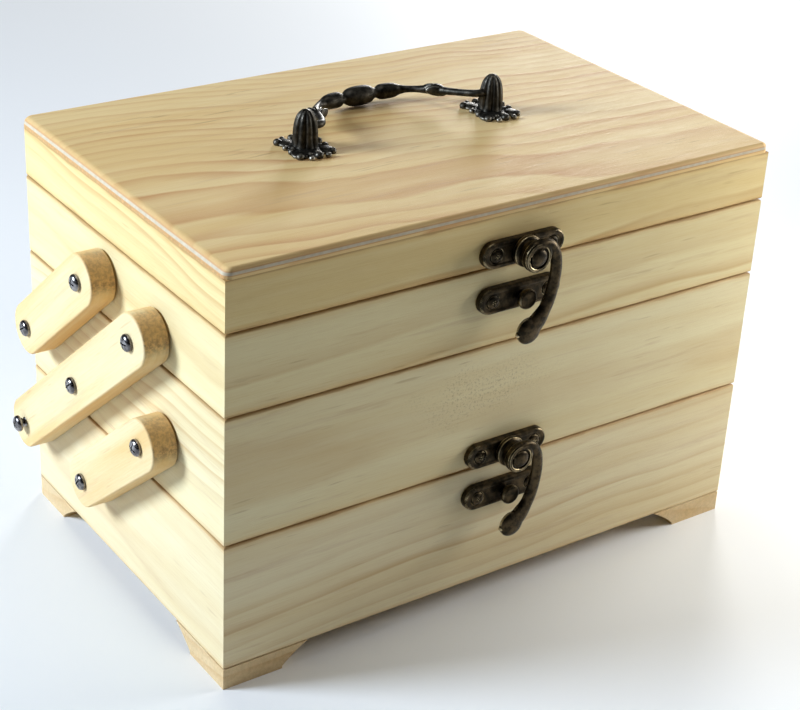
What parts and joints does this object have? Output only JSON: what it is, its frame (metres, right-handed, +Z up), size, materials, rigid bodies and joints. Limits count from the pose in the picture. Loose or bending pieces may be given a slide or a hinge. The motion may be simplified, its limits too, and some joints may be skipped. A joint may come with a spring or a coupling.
{
  "type": "cantilever sewing box",
  "caption": "Wooden sewing box with a base, two trays that swing up and back on wooden arms, a hinged lid, swing latches and a drop handle.",
  "frame": {"origin": "bottom centre of the whole object's box, on the surface that it stands on", "axes": "+X to the right seen from the front, +Y from the latches to the hinges, +Z up"},
  "size_m": [0.2028, 0.1298, 0.1369],
  "materials": {
    "pine": "sanded bare pine, satin",
    "arm_wood": "sanded bare pine, satin",
    "lid_ply": "sanded pine plywood, satin",
    "bottom_ply": "thin plywood, matte",
    "nickel": "nickel plated, polished",
    "antique_brass": "antiqued, worn edges",
    "dark_bronze": "dark antique bronze casting, satin",
    "hinge_brass": "antiqued brass, satin"
  },
  "bodies": {
    "base": {"base_front_board": "pine", "base_back_board": "pine", "base_left_board": "pine", "base_right_board": "pine", "base_bottom": "bottom_ply", "foot_front_left": "pine", "foot_front_right": "pine", "foot_back_left": "pine", "foot_back_right": "pine", "base_pivot_screws": "nickel", "lower_catch_plate": "antique_brass", "lower_catch_screws": "antique_brass", "lower_catch_peg": "antique_brass"},
    "lower_latch": {"lower_latch_arm": "antique_brass", "lower_latch_rivet": "antique_brass"},
    "lower_arms": {"left_lower_arm": "arm_wood", "right_lower_arm": "arm_wood"},
    "middle_arms": {"left_middle_arm": "arm_wood", "right_middle_arm": "arm_wood"},
    "upper_arms": {"left_upper_arm": "arm_wood", "right_upper_arm": "arm_wood"},
    "lower_tray": {"lower_tray_front_board": "pine", "lower_tray_back_board": "pine", "lower_tray_left_board": "pine", "lower_tray_right_board": "pine", "lower_tray_bottom": "bottom_ply", "lower_tray_pivot_screws": "nickel", "lower_latch_plate": "antique_brass", "lower_latch_screws": "antique_brass"},
    "upper_tray": {"upper_tray_front_board": "pine", "upper_tray_back_board": "pine", "upper_tray_left_board": "pine", "upper_tray_right_board": "pine", "upper_tray_bottom": "bottom_ply", "upper_tray_pivot_screws": "nickel", "upper_catch_plate": "antique_brass", "upper_catch_screws": "antique_brass", "upper_catch_peg": "antique_brass", "tray_hinge_leaves": "hinge_brass", "hinge_pins": "hinge_brass", "tray_hinge_screws": "hinge_brass"},
    "lid": {"lid_front_board": "pine", "lid_back_board": "pine", "lid_left_board": "pine", "lid_right_board": "pine", "lid_top": "lid_ply", "upper_latch_plate": "antique_brass", "upper_latch_screws": "antique_brass", "upper_latch_rivet": "antique_brass", "lid_hinge_leaves": "hinge_brass", "lid_hinge_screws": "hinge_brass", "handle_post_left": "dark_bronze", "handle_post_right": "dark_bronze", "handle_screws": "nickel"},
    "upper_latch": {"upper_latch_arm": "antique_brass"},
    "handle": {"handle_bail": "dark_bronze"}
  },
  "joints": [
    {"name": "trays_fold", "type": "hinge", "parent": "base", "child": "middle_arms", "pos_m": [0, 0.0509, 0.0323], "axis": [-1, 0, 0], "range_deg": [0, 100]},
    {"name": "lower_arms_fold", "type": "hinge", "parent": "base", "child": "lower_arms", "pos_m": [0, 0.0119, 0.0323], "axis": [-1, 0, 0], "range_deg": [0, 100]},
    {"name": "lower_tray_level", "type": "hinge", "parent": "middle_arms", "child": "lower_tray", "pos_m": [0, 0.01581, 0.06174], "axis": [-1, 0, 0], "range_deg": [-100, 0]},
    {"name": "upper_tray_level", "type": "hinge", "parent": "middle_arms", "child": "upper_tray", "pos_m": [0, -0.01927, 0.09118], "axis": [-1, 0, 0], "range_deg": [-100, 0]},
    {"name": "upper_arms_fold", "type": "hinge", "parent": "lower_tray", "child": "upper_arms", "pos_m": [0, 0.04591, 0.06624], "axis": [-1, 0, 0], "range_deg": [0, 100]},
    {"name": "lid_open", "type": "hinge", "parent": "upper_tray", "child": "lid", "pos_m": [0, 0.0633, 0.10735], "axis": [-1, 0, 0], "range_deg": [0, 110]},
    {"name": "upper_latch_swing", "type": "hinge", "parent": "lid", "child": "upper_latch", "pos_m": [0, -0.0554, 0.1118], "axis": [0, -1, 0], "range_deg": [0, 110]},
    {"name": "lower_latch_swing", "type": "hinge", "parent": "base", "child": "lower_latch", "pos_m": [0, -0.0554, 0.0501], "axis": [0, -1, 0], "range_deg": [0, 110]},
    {"name": "handle_swing", "type": "hinge", "parent": "lid", "child": "handle", "pos_m": [0, 0.0021, 0.1316], "axis": [1, 0, 0], "range_deg": [0, 197.46]}
  ],
  "couplings": [
    {"joint": "lower_arms_fold", "follows": "trays_fold", "ratio": 1},
    {"joint": "lower_tray_level", "follows": "trays_fold", "ratio": -1},
    {"joint": "upper_tray_level", "follows": "trays_fold", "ratio": -1},
    {"joint": "upper_arms_fold", "follows": "trays_fold", "ratio": 1}
  ]
}
